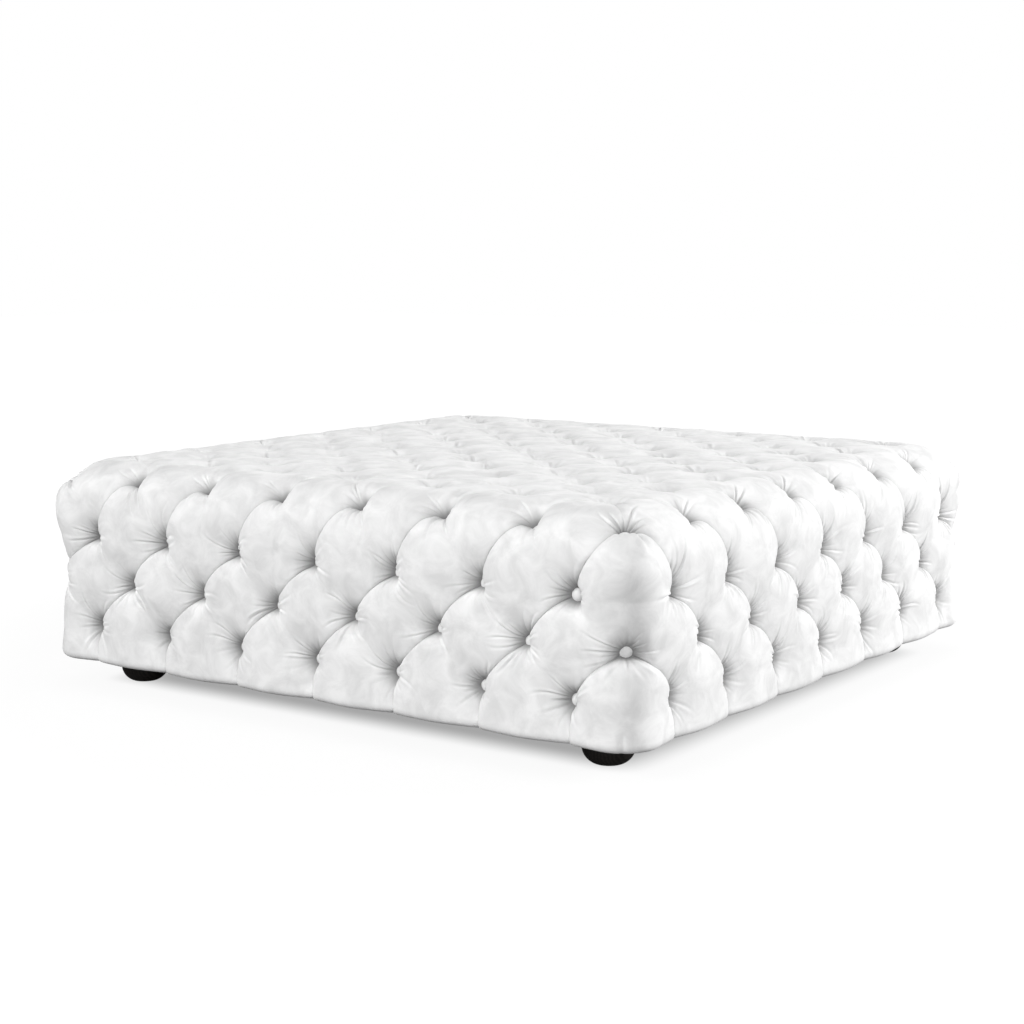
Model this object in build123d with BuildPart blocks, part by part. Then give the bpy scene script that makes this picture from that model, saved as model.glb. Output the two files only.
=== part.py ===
from build123d import *
import os
from collections import namedtuple
from math import asin, atan2, cos, degrees, radians, sin, sqrt

# Deep-buttoned square ottoman coffee table, in millimetres.
# Origin on the floor at the centre of the footprint, +Z up, front at -Y.

# Overall form
overall_width = 1300
overall_height = 425
foot_height = 52
tuft_depth = 42
pitches_per_side = 7

# Rows of buttons down each side
lower_row_height = 121
row_step = 83

# Foam core edges
edge_bevel_out = 34
edge_bevel_drop = 20
corner_bevel = 24

# Tufts: heights over the foam core
seat_lift = 5
seat_half = 12
pleat_lift = 15
pleat_crossing_crown = 33
hem_pleat_lift = 22
hem_pleat_half = 3
hem_crown = 36
edge_corner_rise = 3

# Velvet, wadding and foam
cover_thickness = 2
cover_clearance = 0.3
top_foam_thickness = 60
side_foam_thickness = 25

# Plywood and timber frame
deck_thickness = 15
panel_thickness = 12
plate_thickness = 18
plate_size = 140
rail_thickness = 25
top_rail_depth = 45
bottom_rail_depth = 40
post_size = 40
joist_thickness = 25
joist_depth = 60
dust_cover_thickness = 1
dust_cover_margin = 6
flange_setback = 1

# Covered buttons, their ties and their corner nails
button_diameter = 22
button_height = 7
button_rim = 1.5
shank_diameter = 4
shank_length = 8
twine_diameter = 2
bore_clearance = 1
toggle_diameter = 12
toggle_thickness = 3
toggle_clearance = 0.3
nail_diameter = 2.6
nail_length = 90
nail_clearance = 0.3

# Feet and their bolts
foot_inset = 129
foot_top_diameter = 60
foot_belly_diameter = 88
foot_base_diameter = 48
foot_belly_share = 0.55
bolt_diameter = 8
bolt_clearance = 0.2
bolt_in_foot = 28
bolt_socket_spare = 2
bolt_overshoot = 4
tee_nut_flange_diameter = 24
tee_nut_flange_thickness = 1.5
tee_nut_barrel_diameter = 11
tee_nut_barrel_length = 12

# Deck screws
screw_diameter = 4
screw_head_diameter = 8
screw_head_depth = 3
screw_length = 50
screw_clearance = 0.2
screw_place_shares = [-5.5, -2.5, 2.5, 5.5]
joist_place_shares = [-4.5, -1.5, 1.5, 4.5]

# One overrun serves every cut
overrun = 5

core_half = overall_width / 2 - tuft_depth
core_top = overall_height - tuft_depth
pitch = 2 * core_half / pitches_per_side
half_pitch = pitch / 2
shoulder = core_top - edge_bevel_drop
corner_diagonal = core_half - corner_bevel / 2
edge_lean = degrees(atan2(edge_bevel_out, edge_bevel_drop))
half_bevel = sqrt(edge_bevel_out**2 + edge_bevel_drop**2) / 2

dust_cover_top = foot_height + dust_cover_thickness
hem_height = dust_cover_top
frame_bottom = hem_height + cover_thickness
deck_top = core_top - top_foam_thickness
deck_bottom = deck_top - deck_thickness
panel_outer = core_half - side_foam_thickness
panel_inner = panel_outer - panel_thickness
rail_inner = panel_inner - rail_thickness
post_inner = panel_inner - post_size
plate_top = dust_cover_top + plate_thickness
foot_centre = overall_width / 2 - foot_inset

side_names = ["front", "right", "back", "left"]
corner_names = ["front_right", "back_right", "back_left", "front_left"]

# A row runs along one side: its distance out, its height, and how far its normal leans up from level
Row = namedtuple("Row", "out up lean")
Lifts = namedtuple("Lifts", "seat crown pleat crossing hem_pleat hem_crown corner_seat")

middle_row_height = lower_row_height + row_step
upper_row_height = middle_row_height + row_step
edge_row = Row(core_half - edge_bevel_out / 2, core_top - edge_bevel_drop / 2, edge_lean)
under_edge_height = upper_row_height + (half_bevel + shoulder - upper_row_height) / 2


def lifts_below(depth):
    """Heights over the core of a skin that lies this far under the velvet's face."""
    return Lifts(
        seat_lift - depth,
        tuft_depth - depth,
        pleat_lift - depth,
        pleat_crossing_crown - depth,
        hem_pleat_lift - depth,
        hem_crown - depth,
        seat_lift + edge_corner_rise - depth,
    )


def side_row(height):
    return Row(core_half, height, 0)


def top_row(out):
    return Row(out, core_top, 90)


def shifted(row, distance):
    """The row moved up its own slope by a distance."""
    lean = radians(row.lean)
    return Row(row.out - distance * sin(lean), row.up + distance * cos(lean), row.lean)


def lifted(x, row, height):
    """A point of the front side, at a height over the core, measured square to the row."""
    lean = radians(row.lean)
    return Vector(x, -row.out - height * cos(lean), row.up + height * sin(lean))


def mirrored(point):
    return Vector(-point.X, point.Y, point.Z)


def hump(row, x_start, start, x_end, end, crown):
    """One pillow's arc along a row, from valley to valley."""
    middle = lifted((x_start + x_end) / 2, row, crown)
    return Edge.make_three_point_arc(lifted(x_start, row, start), middle, lifted(x_end, row, end))


def button_places(count):
    """Places of a row of buttons along a side, centred, one pitch apart."""
    return [(index - (count - 1) / 2) * pitch for index in range(count)]


def button_line(row, places, half, seat, crown):
    """Along a row: a flat seat at each place, with a pillow's arc between neighbours."""
    edges = []
    for number, x in enumerate(places):
        if number:
            edges.append(hump(row, places[number - 1] + half, seat, x - half, seat, crown))
        edges.append(Edge.make_line(lifted(x - half, row, seat), lifted(x + half, row, seat)))
    return edges


def corner_core_point(height):
    return Vector(corner_diagonal, -corner_diagonal, height)


def corner_arc(corner, end):
    """Arc that leaves the corner square to the diagonal and comes down at the end point."""
    inward = Vector(-1, 1, 0).normalized()
    chord = end - corner
    radius = chord.length**2 / (2 * chord.dot(inward))
    centre = corner + inward * radius
    middle = centre + ((corner - centre) + (end - centre)).normalized() * radius
    return corner, middle, end


def with_corner_humps(row, crown, first_x, first_lift, edges):
    """Closes a row whose pillow wraps the corners: half of the pillow at each end."""
    outward = Vector(1, -1, 0).normalized()
    corner = corner_core_point(row.up) + outward * crown
    start, middle, end = corner_arc(corner, lifted(first_x, row, first_lift))
    right = Edge.make_three_point_arc(end, middle, start)
    left = Edge.make_three_point_arc(mirrored(start), mirrored(middle), mirrored(end))
    return [left] + edges + [right]


def corner_seat_points(row, centre, lift):
    """The right corner's seat where the row's plane cuts it: its point on the diagonal and its end."""
    lean = radians(row.lean)
    normal = Vector(cos(lean) / sqrt(2), -cos(lean) / sqrt(2), sin(lean))
    up_seat = Vector(-sin(lean) / sqrt(2), sin(lean) / sqrt(2), cos(lean))
    up_row = Vector(0, sin(lean), cos(lean))
    base = centre + normal * lift
    climb = up_row.dot(lifted(0, row, 0) - base) / up_row.dot(up_seat)
    corner = base + up_seat * climb
    along = normal.cross(up_row).normalized()
    along = along if along.X < 0 else -along
    return corner, corner + along * seat_half


def corner_button_row(row, centre, corner_lift, lifts):
    """A row with a button on each corner: the seats there are bent round the corner."""
    places = button_places(pitches_per_side - 1)
    corner, seat_end = corner_seat_points(row, centre, corner_lift)
    seat_start = lifted(places[-1] + seat_half, row, lifts.seat)
    crown = lifted((seat_start.X + seat_end.X) / 2, row, lifts.crown)
    left = [
        Edge.make_line(mirrored(corner), mirrored(seat_end)),
        Edge.make_three_point_arc(mirrored(seat_end), mirrored(crown), mirrored(seat_start)),
    ]
    right = [Edge.make_three_point_arc(seat_start, crown, seat_end), Edge.make_line(seat_end, corner)]
    return left + button_line(row, places, seat_half, lifts.seat, lifts.crown) + right


def corner_pillow_row(row, half, seat, crown):
    """A row with a pillow wrapped round each corner."""
    places = button_places(pitches_per_side)
    edges = button_line(row, places, half, seat, crown)
    return with_corner_humps(row, crown, places[-1] + half, seat, edges)


def crossing_humps(row, count, lifts):
    """Small arcs of a row that runs half way between two rows of buttons."""
    valleys = [(index - count / 2) * half_pitch for index in range(count + 1)]
    return [
        hump(row, here, lifts.pleat, there, lifts.pleat, lifts.crossing)
        for here, there in zip(valleys, valleys[1:])
    ]


def crossing_row(height, lifts):
    row = side_row(height)
    count = 2 * pitches_per_side - 1
    ends = count * half_pitch / 2
    return with_corner_humps(row, lifts.crossing, ends, lifts.pleat, crossing_humps(row, count, lifts))


edge_corner = Vector(edge_row.out, -edge_row.out, edge_row.up)


def edge_button_row(distance, lifts):
    return corner_button_row(shifted(edge_row, distance), edge_corner, lifts.corner_seat, lifts)


def side_rows(lifts, bottom):
    """Rows of one side from the hem up to the top of the edge row."""
    rows = [corner_pillow_row(side_row(bottom), hem_pleat_half, lifts.hem_pleat, lifts.hem_crown)]
    crossings = {
        lower_row_height: lower_row_height + row_step / 2,
        middle_row_height: middle_row_height + row_step / 2,
        upper_row_height: under_edge_height,
    }
    for height, crossing_height in crossings.items():
        for distance in (-seat_half, seat_half):
            row = side_row(height + distance)
            if height == middle_row_height:
                rows.append(corner_button_row(row, corner_core_point(height), lifts.seat, lifts))
            else:
                rows.append(corner_pillow_row(row, seat_half, lifts.seat, lifts.crown))
        rows.append(crossing_row(crossing_height, lifts))
    rows.append(edge_button_row(-seat_half, lifts))
    rows.append(edge_button_row(seat_half, lifts))
    return rows


def ruled_between(lower, upper):
    return [Face.make_surface_from_curves(a, b) for a, b in zip(lower, upper)]


def skin_of_rows(rows):
    faces = []
    for lower, upper in zip(rows, rows[1:]):
        faces += ruled_between(lower, upper)
    return faces


def start_of(edges):
    return edges[0] @ 0


def end_of(edges):
    return edges[-1] @ 1


def flat_face(*points):
    return Face(Wire.make_polygon(points, close=True))


def strip_face(edges, points):
    """Flat face between a row of edges and the points that lead back to its start."""
    path = [end_of(edges)] + list(points) + [start_of(edges)]
    lines = [Edge.make_line(a, b) for a, b in zip(path, path[1:])]
    return Face(Wire(edges + lines))


def face_between_rows(outer, inner):
    at_end = Edge.make_line(end_of(outer), end_of(inner))
    at_start = Edge.make_line(start_of(inner), start_of(outer))
    return Face(Wire(outer + [at_end] + inner + [at_start]))


def both_ends(points):
    """A flat face across the right corner's diagonal, and its twin at the left corner."""
    return [flat_face(*points), flat_face(*[mirrored(point) for point in points])]


def closed_solid(faces):
    return Solid(Shell(faces))


def side_cover_solid():
    outer = side_rows(lifts_below(0), hem_height)
    inner = side_rows(lifts_below(cover_thickness), frame_bottom)
    flange = panel_inner + flange_setback
    low_right, low_left = Vector(flange, -flange, hem_height), Vector(-flange, -flange, hem_height)
    high_right, high_left = Vector(flange, -flange, frame_bottom), Vector(-flange, -flange, frame_bottom)
    ends = [end_of(row) for row in outer] + [end_of(row) for row in reversed(inner)]
    faces = skin_of_rows(outer) + skin_of_rows(inner)
    faces += [face_between_rows(outer[-1], inner[-1])]
    faces += [strip_face(outer[0], [low_right, low_left]), strip_face(inner[0], [high_right, high_left])]
    faces += [flat_face(low_right, low_left, high_left, high_right)]
    faces += both_ends(ends + [high_right, low_right])
    return closed_solid(faces)


def core_edge_points():
    """Right-hand corner points of the foam core's front: side, bevels and the edge row's upper line."""
    bevel_end = lifted(core_half - corner_bevel, side_row(shoulder), 0)
    mitre_height = shoulder + (core_half - corner_diagonal) * edge_bevel_drop / edge_bevel_out
    mitre = Vector(corner_diagonal, -corner_diagonal, mitre_height)
    seam_row = shifted(edge_row, seat_half)
    return bevel_end, mitre, Vector(seam_row.out, -seam_row.out, seam_row.up)


def side_wadding_solid():
    outer = side_rows(lifts_below(cover_thickness + cover_clearance), frame_bottom)
    bevel_end, mitre, seam = core_edge_points()
    foot_of_bevel = Vector(bevel_end.X, bevel_end.Y, frame_bottom)
    foot_of_mitre = Vector(mitre.X, mitre.Y, frame_bottom)
    faces = skin_of_rows(outer)
    faces += [strip_face(outer[-1], [seam, mirrored(seam)])]
    under = [foot_of_mitre, foot_of_bevel, mirrored(foot_of_bevel), mirrored(foot_of_mitre)]
    faces += [strip_face(outer[0], under)]
    faces += [flat_face(foot_of_bevel, bevel_end, mirrored(bevel_end), mirrored(foot_of_bevel))]
    faces += both_ends([foot_of_bevel, foot_of_mitre, mitre, bevel_end])
    faces += [flat_face(bevel_end, mitre, seam, mirrored(seam), mirrored(mitre), mirrored(bevel_end))]
    faces += both_ends([end_of(row) for row in outer] + [seam, mitre, foot_of_mitre])
    return closed_solid(faces)


def ring_line(number, distance, lifts):
    """One side of a square ring of buttons on the top, corner seats included."""
    row = top_row(number * half_pitch + distance)
    return button_line(row, button_places(number + 1), seat_half, lifts.seat, lifts.crown)


def top_sector_faces(lifts):
    """The front quarter of the top's skin, from the edge row in to the middle."""
    seam = edge_button_row(seat_half, lifts)
    crossing = crossing_humps(
        top_row((pitches_per_side - 1 / 2) * half_pitch), 2 * pitches_per_side - 1, lifts
    )
    faces = ruled_between(seam[1:-1], crossing)
    corner, seat_end, valley = end_of(seam), seam[-1] @ 0, end_of(crossing)
    faces += [flat_face(corner, seat_end, valley)]
    faces += [flat_face(mirrored(corner), mirrored(seat_end), mirrored(valley))]
    for number in range(pitches_per_side - 1, 0, -1):
        outer = ring_line(number, seat_half, lifts)
        inner = ring_line(number, -seat_half, lifts)[1:-1]
        faces += ruled_between(crossing, outer)
        faces += ruled_between(outer[1:-1], inner)
        faces += [seat_face(number * half_pitch, lifts)]
        crossing = crossing_humps(top_row((number - 1 / 2) * half_pitch), 2 * number - 1, lifts)
        faces += ruled_between(inner, crossing)
    faces += ruled_between(crossing, ring_line(0, seat_half, lifts))
    return faces


def seat_face(out, lifts):
    """The square seat at the right-hand corner of a ring of the top."""
    near, far, height = out - seat_half, out + seat_half, core_top + lifts.seat
    corners = [(near, -far), (far, -far), (far, -near), (near, -near)]
    return flat_face(*[(x, y, height) for x, y in corners])


def all_round(faces):
    return [face.rotate(Axis.Z, 90 * quarter) for quarter in range(4) for face in faces]


def top_skin(lifts):
    return all_round(top_sector_faces(lifts)) + [seat_face(0, lifts)]


def top_cover_solid():
    outer, inner = lifts_below(0), lifts_below(cover_thickness)
    seam = face_between_rows(edge_button_row(seat_half, outer), edge_button_row(seat_half, inner))
    return closed_solid(top_skin(outer) + top_skin(inner) + all_round([seam]))


def top_wadding_solid():
    lifts = lifts_below(cover_thickness + cover_clearance)
    seam = core_edge_points()[2]
    flat_half = core_half - edge_bevel_out
    flat_corner = Vector(flat_half, -flat_half, core_top)
    sector = [strip_face(edge_button_row(seat_half, lifts), [seam, mirrored(seam)])]
    sector += [flat_face(seam, flat_corner, mirrored(flat_corner), mirrored(seam))]
    under = flat_face(*[flat_corner.rotate(Axis.Z, 90 * quarter) for quarter in range(4)])
    return closed_solid(top_skin(lifts) + all_round(sector) + [under])


def row_seats(row, places):
    """Where the buttons of one row of the front sit, each with its axis square to the foam."""
    outward = lifted(0, row, 1) - lifted(0, row, 0)
    planes = [Plane(origin=lifted(x, row, seat_lift), x_dir=(1, 0, 0), z_dir=outward) for x in places]
    return [plane.location for plane in planes]


def corner_button_seat(centre, lean_degrees, lift):
    """Where the button of the front's right-hand corner sits."""
    lean = radians(lean_degrees)
    outward = Vector(cos(lean) / sqrt(2), -cos(lean) / sqrt(2), sin(lean))
    return Plane(origin=centre + outward * lift, x_dir=(1, 1, 0), z_dir=outward).location


def turned(locations, quarter):
    """The same places, turned about the middle by quarters of a turn."""
    return [Location((0, 0, 0), (0, 0, 90 * quarter)) * place for place in locations]


def all_sides(locations):
    return [place for quarter in range(4) for place in turned(locations, quarter)]


def moved_out(locations, distance):
    """The same places, moved along their own axes."""
    return [place * Location((0, 0, distance)) for place in locations]


inward = (Align.CENTER, Align.CENTER, Align.MAX)
seven_places = button_places(pitches_per_side)
six_places = button_places(pitches_per_side - 1)

top_seats = [
    Location((x, y, core_top + seat_lift))
    for places in (seven_places, six_places)
    for x in places
    for y in places
]
edge_seats = row_seats(edge_row, six_places)
upper_seats = row_seats(side_row(upper_row_height), seven_places)
middle_seats = row_seats(side_row(middle_row_height), six_places)
lower_seats = row_seats(side_row(lower_row_height), seven_places)
corner_seats = [
    corner_button_seat(corner_core_point(middle_row_height), 0, seat_lift),
    corner_button_seat(edge_corner, edge_lean, seat_lift + edge_corner_rise),
]
side_seats = upper_seats + middle_seats + lower_seats

shank_bore = shank_diameter + bore_clearance
nail_bore = nail_diameter + nail_clearance


def bore(seats, diameter, depth):
    """Holes that run in from the button seats."""
    with Locations(*moved_out(seats, overrun)):
        Cylinder(diameter / 2, depth + overrun, align=inward, mode=Mode.SUBTRACT)


# Depths of the ties, from the seat to where each ends
edge_lean_cos, edge_lean_sin = cos(radians(edge_lean)), sin(radians(edge_lean))
edge_tie_end = rail_inner - toggle_diameter / 2 * edge_lean_sin - toggle_clearance
top_tie_depth = core_top + seat_lift - deck_bottom
edge_tie_depth = (edge_row.out + seat_lift * edge_lean_cos - edge_tie_end) / edge_lean_cos
upper_tie_depth = core_half + seat_lift - rail_inner
panel_tie_depth = core_half + seat_lift - panel_inner

rail_middle = (panel_inner + rail_inner) / 2
rail_screw_places = [Location((share * half_pitch, -rail_middle, deck_top)) for share in screw_place_shares]
screw_places = all_sides(rail_screw_places)
foot_places = [(x, y) for x in (-foot_centre, foot_centre) for y in (-foot_centre, foot_centre)]

os.makedirs("parts", exist_ok=True)


# Velvet cover: a tufted top and four tufted sides, joined in the fold round the edge row
with BuildPart() as side_cover:
    add(side_cover_solid())
    bore(edge_seats + side_seats + corner_seats + turned(corner_seats, -1), shank_bore, shank_length)

for quarter, side in enumerate(side_names):
    with BuildPart() as cover:
        add(side_cover.part.rotate(Axis.Z, 90 * quarter))
    cover.part.label = f"cover_{side}"
    export_step(cover.part, f"parts/cover_{side}.step")

with BuildPart() as cover_top:
    add(top_cover_solid())
    bore(top_seats, shank_bore, shank_length)
cover_top.part.label = "cover_top"
export_step(cover_top.part, "parts/cover_top.step")


# Wadding fills each pillow between the foam and the velvet
with BuildPart() as side_wadding:
    add(side_wadding_solid())
    bore(edge_seats + side_seats + corner_seats + turned(corner_seats, -1), shank_bore, shank_length)

for quarter, side in enumerate(side_names):
    with BuildPart() as wadding:
        add(side_wadding.part.rotate(Axis.Z, 90 * quarter))
    wadding.part.label = f"wadding_{side}"
    export_step(wadding.part, f"parts/wadding_{side}.step")

with BuildPart() as wadding_top:
    add(top_wadding_solid())
    bore(top_seats, shank_bore, shank_length)
wadding_top.part.label = "wadding_top"
export_step(wadding_top.part, "parts/wadding_top.step")


# Foam: a bevelled slab over the deck and four side slabs under it
with BuildPart() as foam_top:
    with BuildSketch(Plane.XY.offset(deck_top)) as slab:
        Rectangle(2 * core_half, 2 * core_half)
        chamfer(slab.vertices(), corner_bevel)
    extrude(amount=top_foam_thickness)
    for quarter in range(4):
        bevel = Plane(turned(row_seats(edge_row, [0]), quarter)[0]).offset(-seat_lift)
        split(bisect_by=bevel, keep=Keep.BOTTOM)
    bore(top_seats + all_sides(edge_seats + corner_seats[1:]), shank_bore, top_tie_depth)
foam_top.part.label = "foam_top"
export_step(foam_top.part, "parts/foam_top.step")

with BuildPart() as side_foam:
    with BuildSketch(Plane.XY.offset(frame_bottom)):
        with BuildLine():
            Polyline(
                (-panel_outer, -panel_outer),
                (panel_outer, -panel_outer),
                (corner_diagonal, -corner_diagonal),
                (core_half - corner_bevel, -core_half),
                (corner_bevel - core_half, -core_half),
                (-corner_diagonal, -corner_diagonal),
                close=True,
            )
        make_face()
    extrude(amount=deck_top - frame_bottom)
    bore(side_seats + corner_seats[:1] + turned(corner_seats[:1], -1), shank_bore, upper_tie_depth)

for quarter, side in enumerate(side_names):
    with BuildPart() as foam:
        add(side_foam.part.rotate(Axis.Z, 90 * quarter))
    foam.part.label = f"foam_{side}"
    export_step(foam.part, f"parts/foam_{side}.step")


# Plywood deck and the four side panels, drilled for the ties
with BuildPart() as deck:
    with BuildSketch(Plane.XY.offset(deck_bottom)):
        Rectangle(2 * panel_outer, 2 * panel_outer)
    extrude(amount=deck_thickness)
    bore(top_seats, shank_bore, top_tie_depth)
    bore(all_sides(edge_seats), shank_bore, edge_tie_depth)
    bore(all_sides(corner_seats[1:]), nail_bore, nail_length)
    with Locations(*screw_places):
        CounterBoreHole(
            radius=screw_diameter / 2 + screw_clearance,
            counter_bore_radius=screw_head_diameter / 2 + screw_clearance,
            counter_bore_depth=screw_head_depth,
        )
deck.part.label = "deck"
export_step(deck.part, "parts/deck.step")

with BuildPart() as side_panel:
    with BuildSketch(Plane.XY.offset(frame_bottom)):
        with BuildLine():
            Polyline(
                (-panel_outer, -panel_outer),
                (panel_outer, -panel_outer),
                (panel_inner, -panel_inner),
                (-panel_inner, -panel_inner),
                close=True,
            )
        make_face()
    extrude(amount=deck_bottom - frame_bottom)
    bore(side_seats, shank_bore, upper_tie_depth)
    bore(corner_seats[:1] + turned(corner_seats[:1], -1), nail_bore, nail_length)

# Timber rails inside the panels, under the deck and over the foot plates
with BuildPart() as top_rail:
    with BuildSketch(Plane.XY.offset(deck_bottom - top_rail_depth)):
        with Locations((0, -panel_inner)):
            Rectangle(2 * post_inner, rail_thickness, align=(Align.CENTER, Align.MIN))
    extrude(amount=top_rail_depth)
    bore(upper_seats, shank_bore, upper_tie_depth)
    bore(edge_seats, shank_bore, edge_tie_depth)
    with Locations(*rail_screw_places):
        Cylinder(screw_diameter / 2 + screw_clearance, screw_length, align=inward, mode=Mode.SUBTRACT)

with BuildPart() as bottom_rail:
    with BuildSketch(Plane.XY.offset(plate_top)):
        with Locations((0, -panel_inner)):
            Rectangle(2 * post_inner, rail_thickness, align=(Align.CENTER, Align.MIN))
    extrude(amount=bottom_rail_depth)

with BuildPart() as corner_post:
    with BuildSketch(Plane.XY.offset(plate_top)):
        with Locations((panel_inner, -panel_inner)):
            Rectangle(post_size, post_size, align=(Align.MAX, Align.MIN))
    extrude(amount=deck_bottom - plate_top)
    bore(corner_seats, nail_bore, nail_length)

# Plywood foot plates in the corners
with BuildPart() as foot_plate:
    with BuildSketch(Plane.XY.offset(dust_cover_top)):
        with Locations((panel_inner, -panel_inner)):
            Rectangle(plate_size, plate_size, align=(Align.MAX, Align.MIN))
        with Locations((foot_centre, -foot_centre)):
            Circle(tee_nut_barrel_diameter / 2 + bolt_clearance, mode=Mode.SUBTRACT)
    extrude(amount=plate_thickness)

# Turned bun feet
with BuildPart() as bun_foot:
    with BuildSketch(Plane.XZ):
        with BuildLine():
            belly = (foot_belly_diameter / 2, foot_height * foot_belly_share)
            base_end = (foot_base_diameter / 2, 0)
            top_end = (foot_top_diameter / 2, foot_height)
            Line((0, 0), base_end)
            TangentArc(belly, base_end, tangent=(0, -1))
            TangentArc(belly, top_end, tangent=(0, 1))
            Line(top_end, (0, foot_height))
            Line((0, foot_height), (0, 0))
        make_face()
    revolve(axis=Axis.Z)
    with Locations((0, 0, foot_height)):
        Cylinder(
            bolt_diameter / 2 + bolt_clearance,
            bolt_in_foot + bolt_socket_spare,
            align=inward,
            mode=Mode.SUBTRACT,
        )

for quarter, side in enumerate(side_names):
    with BuildPart() as panel:
        add(side_panel.part.rotate(Axis.Z, 90 * quarter))
    panel.part.label = f"panel_{side}"
    export_step(panel.part, f"parts/panel_{side}.step")

    with BuildPart() as rail:
        add(top_rail.part.rotate(Axis.Z, 90 * quarter))
    rail.part.label = f"top_rail_{side}"
    export_step(rail.part, f"parts/top_rail_{side}.step")

    with BuildPart() as rail:
        add(bottom_rail.part.rotate(Axis.Z, 90 * quarter))
    rail.part.label = f"bottom_rail_{side}"
    export_step(rail.part, f"parts/bottom_rail_{side}.step")

for quarter, corner in enumerate(corner_names):
    with BuildPart() as post:
        add(corner_post.part.rotate(Axis.Z, 90 * quarter))
    post.part.label = f"post_{corner}"
    export_step(post.part, f"parts/post_{corner}.step")

    with BuildPart() as plate:
        add(foot_plate.part.rotate(Axis.Z, 90 * quarter))
    plate.part.label = f"foot_plate_{corner}"
    export_step(plate.part, f"parts/foot_plate_{corner}.step")

    with BuildPart() as foot:
        with Locations(*turned([Location((foot_centre, -foot_centre, 0))], quarter)):
            add(bun_foot.part)
    foot.part.label = f"foot_{corner}"
    export_step(foot.part, f"parts/foot_{corner}.step")


# Joists under the deck
for number, share in enumerate(joist_place_shares, start=1):
    with BuildPart() as joist:
        with BuildSketch(Plane.XY.offset(deck_bottom - joist_depth)):
            with Locations((share * half_pitch, 0)):
                Rectangle(joist_thickness, 2 * rail_inner)
        extrude(amount=joist_depth)
    joist.part.label = f"joist_{number}"
    export_step(joist.part, f"parts/joist_{number}.step")


# Black dust cover under the frame
with BuildPart() as dust_cover:
    with BuildSketch(Plane.XY.offset(foot_height)):
        dust_cover_width = 2 * (panel_outer + dust_cover_margin)
        Rectangle(dust_cover_width, dust_cover_width)
        with Locations(*foot_places):
            Circle(bolt_diameter / 2 + bolt_clearance, mode=Mode.SUBTRACT)
    extrude(amount=dust_cover_thickness)
dust_cover.part.label = "dust_cover"
export_step(dust_cover.part, "parts/dust_cover.step")


# Hanger bolts and the tee nuts that they screw into
with BuildPart() as hanger_bolts:
    with BuildSketch(Plane.XY.offset(foot_height - bolt_in_foot)):
        with Locations(*foot_places):
            Circle(bolt_diameter / 2)
    extrude(amount=plate_top + tee_nut_flange_thickness + bolt_overshoot - foot_height + bolt_in_foot)
hanger_bolts.part.label = "hanger_bolts"
export_step(hanger_bolts.part, "parts/hanger_bolts.step")

with BuildPart() as tee_nuts:
    with BuildSketch(Plane.XY.offset(plate_top)):
        with Locations(*foot_places):
            Circle(tee_nut_flange_diameter / 2)
            Circle(bolt_diameter / 2 + bolt_clearance, mode=Mode.SUBTRACT)
    extrude(amount=tee_nut_flange_thickness)
    with BuildSketch(Plane.XY.offset(plate_top)):
        with Locations(*foot_places):
            Circle(tee_nut_barrel_diameter / 2)
            Circle(bolt_diameter / 2 + bolt_clearance, mode=Mode.SUBTRACT)
    extrude(amount=-tee_nut_barrel_length)
tee_nuts.part.label = "tee_nuts"
export_step(tee_nuts.part, "parts/tee_nuts.step")


# Screws that hold the deck down on the rails
with BuildPart() as deck_screws:
    with Locations(*screw_places):
        Cylinder(screw_diameter / 2, screw_length, align=inward)
        Cylinder(screw_head_diameter / 2, screw_head_depth, align=inward)
deck_screws.part.label = "deck_screws"
export_step(deck_screws.part, "parts/deck_screws.step")


# One velvet-covered button: a low dome on a flat back, with its shank through the cover
with BuildPart() as covered_button:
    with BuildSketch(Plane.XZ):
        with BuildLine():
            button_radius = button_diameter / 2
            dome_height = button_height - button_rim
            dome_radius = (button_radius**2 + dome_height**2) / (2 * dome_height)
            half_angle = asin(button_radius / dome_radius) / 2
            dome_centre_height = button_height - dome_radius
            dome_shoulder = (dome_radius * sin(half_angle), dome_centre_height + dome_radius * cos(half_angle))
            Line((0, 0), (button_radius, 0))
            Line((button_radius, 0), (button_radius, button_rim))
            ThreePointArc((button_radius, button_rim), dome_shoulder, (0, button_height))
            Line((0, button_height), (0, 0))
        make_face()
    revolve(axis=Axis.Z)

with BuildPart() as shanked_button:
    add(covered_button.part)
    Cylinder(shank_diameter / 2, shank_length, align=inward)

with BuildPart() as nailed_button:
    add(covered_button.part)
    Cylinder(nail_diameter / 2, nail_length, align=inward)

button_groups = {"buttons_top": top_seats, "buttons_edge": all_sides(edge_seats)}
for quarter, side in enumerate(side_names):
    button_groups[f"buttons_{side}"] = turned(side_seats, quarter)

for name, seats in button_groups.items():
    with BuildPart() as buttons:
        with Locations(*seats):
            add(shanked_button.part)
    buttons.part.label = name
    export_step(buttons.part, f"parts/{name}.step")

with BuildPart() as buttons_corner:
    with Locations(*all_sides(corner_seats)):
        add(nailed_button.part)
buttons_corner.part.label = "buttons_corner"
export_step(buttons_corner.part, "parts/buttons_corner.step")


# Button twine from each shank to the toggle behind the wood
tie_groups = {
    "ties_top": [(top_seats, top_tie_depth)],
    "ties_edge": [(all_sides(edge_seats), edge_tie_depth)],
    "ties_side": [
        (all_sides(upper_seats), upper_tie_depth),
        (all_sides(middle_seats + lower_seats), panel_tie_depth),
    ],
}
for name, runs in tie_groups.items():
    with BuildPart() as ties:
        for seats, depth in runs:
            with Locations(*moved_out(seats, -shank_length)):
                Cylinder(twine_diameter / 2, depth - shank_length, align=inward)
    ties.part.label = name
    export_step(ties.part, f"parts/{name}.step")

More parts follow.
